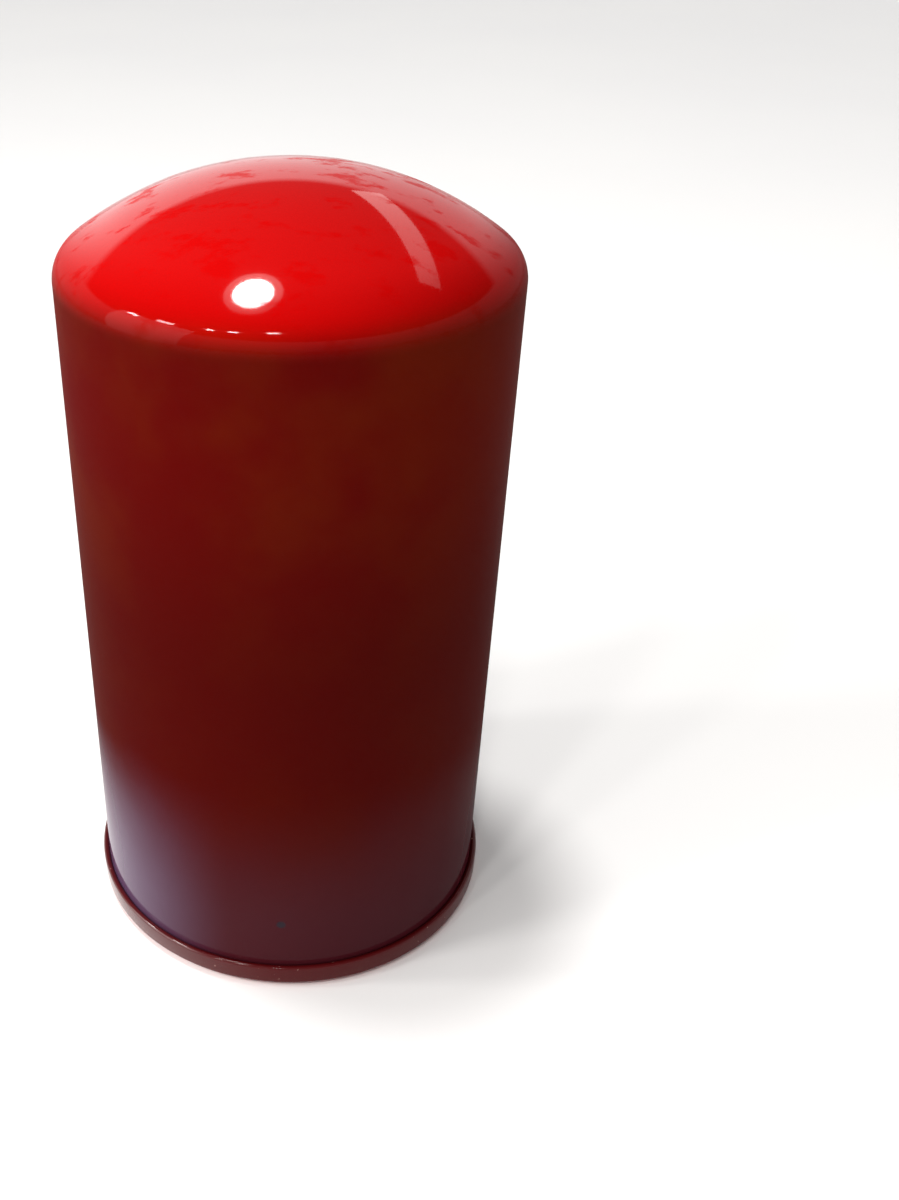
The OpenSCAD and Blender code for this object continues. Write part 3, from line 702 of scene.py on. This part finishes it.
finishes = {
    "capTinplate": {"light": (0.56, 0.55, 0.52), "dark": (0.40, 0.38, 0.34),
        "metal": 0.95, "rough": 0.34, "grain": 0.0012, "depth": 0.00006,
        "nodes": ("lower_end_cap", "upper_end_cap")},
    "tubeTinplate": {"light": (0.50, 0.49, 0.47), "dark": (0.34, 0.33, 0.31),
        "metal": 0.95, "rough": 0.38, "grain": 0.0008, "depth": 0.00005,
        "nodes": ("centre_tube", "media_seam_clip")},
    "bypassZinc": {"light": (0.55, 0.53, 0.44), "dark": (0.40, 0.36, 0.26),
        "metal": 0.95, "rough": 0.32, "grain": 0.0010, "depth": 0.00005,
        "nodes": ("bypass_seat", "bypass_cage", "bypass_poppet", "seal_washer")},
    "stemSteel": {"light": (0.58, 0.57, 0.55), "dark": (0.44, 0.43, 0.41),
        "metal": 0.98, "rough": 0.24, "grain": 0.0006, "depth": 0.00003,
        "nodes": ("bypass_stem",)},
    "discRubber": {"light": (0.018, 0.018, 0.019), "dark": (0.030, 0.029, 0.028),
        "metal": 0.0, "rough": 0.5, "grain": 0.0007, "depth": 0.00005,
        "nodes": ("bypass_seal", "seam_compound")},
    "pottingResin": {"light": (0.10, 0.035, 0.018), "dark": (0.055, 0.02, 0.012),
        "metal": 0.0, "rough": 0.3, "grain": 0.003, "depth": 0.00012,
        "nodes": ("lower_potting", "upper_potting")},
    "glassCord": {"light": (0.66, 0.62, 0.50), "dark": (0.50, 0.46, 0.36),
        "metal": 0.0, "rough": 0.75, "grain": 0.0005, "depth": 0.00012,
        "nodes": ("pleat_cords",)},
}
for name, finish in finishes.items():
    look = Look(name)
    cloud = look.grain(0.007, 4.0, 0.6)
    fine = look.grain(finish["grain"], 4.0, 0.65, shift=3.0)
    colour = look.blend(look.band(cloud, 0.33, 0.68), finish["light"], finish["dark"])
    marks = look.band(look.grain(0.0018, 4.0, 0.7, shift=9.0), 0.63, 0.70)
    look.put("Base Color", look.blend(marks * 0.5, colour, finish["dark"]))
    look.put("Metallic", finish["metal"])
    look.put("Roughness", finish["rough"] + 0.14 * cloud + 0.12 * marks)
    look.bump(fine - 0.4 * marks, finish["depth"], 0.4)
    for node in finish["nodes"]:
        nodes[node].data.materials.clear()
        nodes[node].data.materials.append(look.material)
    print("finish", name)


paper = {"light": (0.66, 0.52, 0.28), "dark": (0.55, 0.41, 0.20), "fibre": (0.78, 0.68, 0.45), "rough": 0.78}


def mediaPaper():
    look = Look("pleatedPaper", Specular_IOR_Level=0.2)
    fibre = look.grain(0.0009, 4.0, 0.7, stretch=(1, 1, 0.35))
    cloud = look.grain(0.010, 3.0, 0.5, shift=4.0)
    colour = look.blend(look.band(cloud, 0.3, 0.7), paper["light"], paper["dark"])
    look.put("Base Color", look.blend(look.band(fibre, 0.5, 0.75) * 0.5, colour, paper["fibre"]))
    look.put("Roughness", paper["rough"] + 0.12 * fibre)
    look.bump(fibre, 0.00018, 0.5)
    return look


nodes["pleated_media"].data.materials.clear()
nodes["pleated_media"].data.materials.append(mediaPaper().material)
print("finish pleatedPaper")

# floor and light

studio = {"floor": 3.2, "floorTone": 0.82, "horizon": 1.12, "ceiling": 0.13, "edge": (0.43, 0.48)}


def paleFloor():
    mesh = bpy.data.meshes.new("paleFloor")
    work = bmesh.new()
    bmesh.ops.create_grid(work, x_segments=8, y_segments=8, size=studio["floor"])
    look = Look("paleFloor", Specular_IOR_Level=0.15)
    tone = studio["floorTone"]
    dim = (tone * 0.985, tone * 0.985, tone * 0.99)
    cloud = look.band(look.grain(0.30, 2.0, 0.5), 0.3, 0.7)
    look.put("Base Color", look.blend(cloud, (tone, tone, tone), dim))
    look.put("Roughness", 0.7)
    mesh.materials.append(look.material)
    return finishMesh("paleFloor", mesh, work, 60)


floor = paleFloor()

world = bpy.data.worlds.new("studioRoom")
bpy.context.scene.world = world
world.use_nodes = True
tree = world.node_tree
back = next(n for n in tree.nodes if n.type == "BACKGROUND")
coords = tree.nodes.new("ShaderNodeTexCoord")
split = tree.nodes.new("ShaderNodeSeparateXYZ")
fade = tree.nodes.new("ShaderNodeMapRange")
tree.links.new(coords.outputs["Generated"], split.inputs[0])
tree.links.new(split.outputs[2], fade.inputs["Value"])
for key, value in (("From Min", studio["edge"][0]), ("From Max", studio["edge"][1]),
                   ("To Min", studio["horizon"]), ("To Max", studio["ceiling"])):
    fade.inputs[key].default_value = value
tree.links.new(fade.outputs[0], back.inputs["Strength"])
back.inputs["Color"].default_value = (1, 1, 1, 1)

lamps = {  # name: place, run of its long side, width, length, watts
    "leftPanel": ((-0.85, -0.30, 0.35), (0, 0, 1), 0.70, 0.80, 5.8),
    "rightStrip": ((0.385, 0.595, 0.775), (0.35, -0.51, 0.29), 0.10, 0.68, 0.42),
    "roomFrontA": ((-0.10, -0.62, 0.90), (0, 0, 1), 0.08, 0.05, 2.0),
    "roomFrontB": ((-0.36, -0.60, 0.86), (0, 0, 1), 0.07, 0.05, 1.6),
    "roomFrontC": ((-0.50, -0.52, 0.84), (0, 0, 1), 0.06, 0.05, 1.3),
    "roomLeftA": ((-0.75, -0.30, 0.80), (0, 0, 1), 0.14, 0.08, 3.2),
    "roomLeftB": ((-0.85, -0.05, 0.72), (0, 0, 1), 0.09, 0.06, 2.0),
}
suns = {"overhead": (1.75, 10.5), "overheadGlow": (0.15, 15)}  # strength, width in degrees
toSun = Vector((-0.158, 0.128, 0.975))
target = Vector((0, 0, 0.15))


def hang(name, data, back, run=(0, 0, 1)):
    across, facing = Vector(run).cross(back).normalized(), back.normalized()
    lamp = bpy.data.objects.new(name, data)
    lamp.location = target + back
    lamp.rotation_euler = Matrix((across, facing.cross(across), facing)).transposed().to_euler()
    bpy.context.scene.collection.objects.link(lamp)


for name, (place, run, across, tall, watts) in lamps.items():
    data = bpy.data.lights.new(name, "AREA")
    data.shape = "RECTANGLE"
    data.size, data.size_y, data.energy, data.color = across, tall, watts, (1.0, 0.97, 0.94)
    hang(name, data, Vector(place) - target, run)
for name, (strength, width) in suns.items():
    data = bpy.data.lights.new(name, "SUN")
    data.energy, data.angle, data.color = strength, math.radians(width), (1.0, 0.98, 0.96)
    hang(name, data, toSun)
print("floor and lamps placed")
